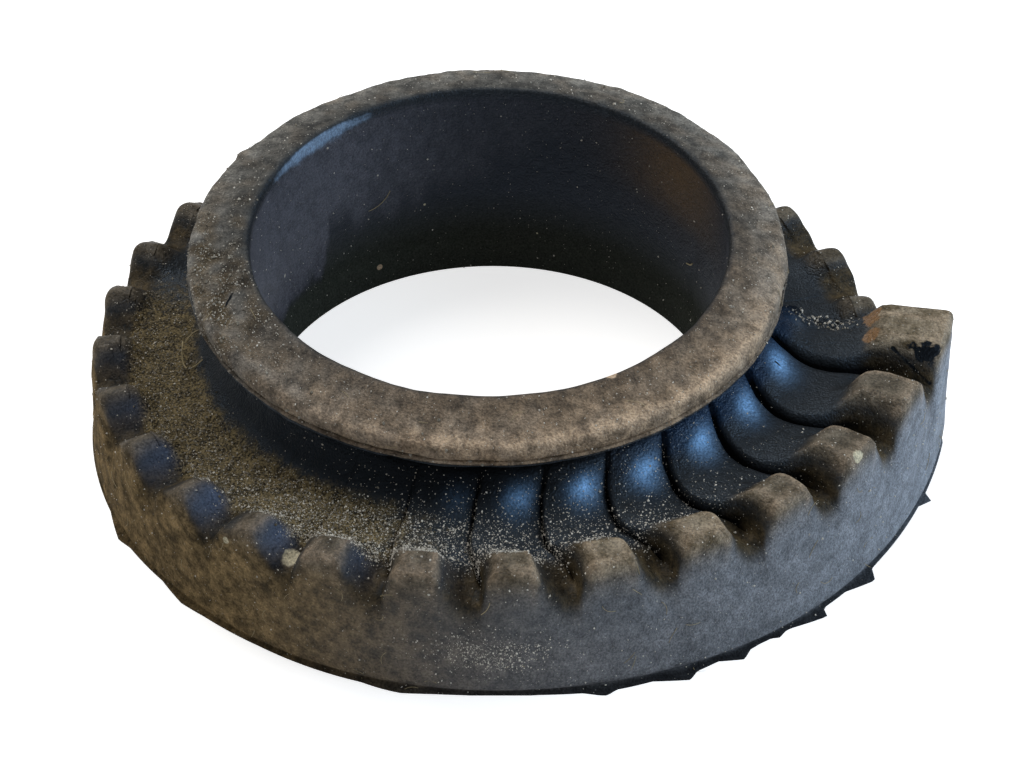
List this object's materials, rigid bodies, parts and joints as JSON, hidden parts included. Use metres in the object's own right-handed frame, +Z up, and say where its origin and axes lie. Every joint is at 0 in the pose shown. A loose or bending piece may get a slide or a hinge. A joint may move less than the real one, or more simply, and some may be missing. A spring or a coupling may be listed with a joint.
{
  "type": "coil spring rubber mount",
  "caption": "Moulded rubber ring that seats the end of a coil spring: lipped collar with a bore, fingered spiral channel, and a climbing toothed wall that ends in a step.",
  "frame": {"origin": "bore axis at the flat underside", "axes": "+Z up along the bore towards the lip; seen from above the seat climbs counter-clockwise and ends in a step 7.7 degrees clockwise of +X"},
  "size_m": [0.1615, 0.152, 0.0435],
  "materials": {
    "rubber": "worn moulded rubber, dusty in the channel, brown on the lip"
  },
  "bodies": {
    "root": {"rubber_mount": "rubber"}
  },
  "joints": []
}
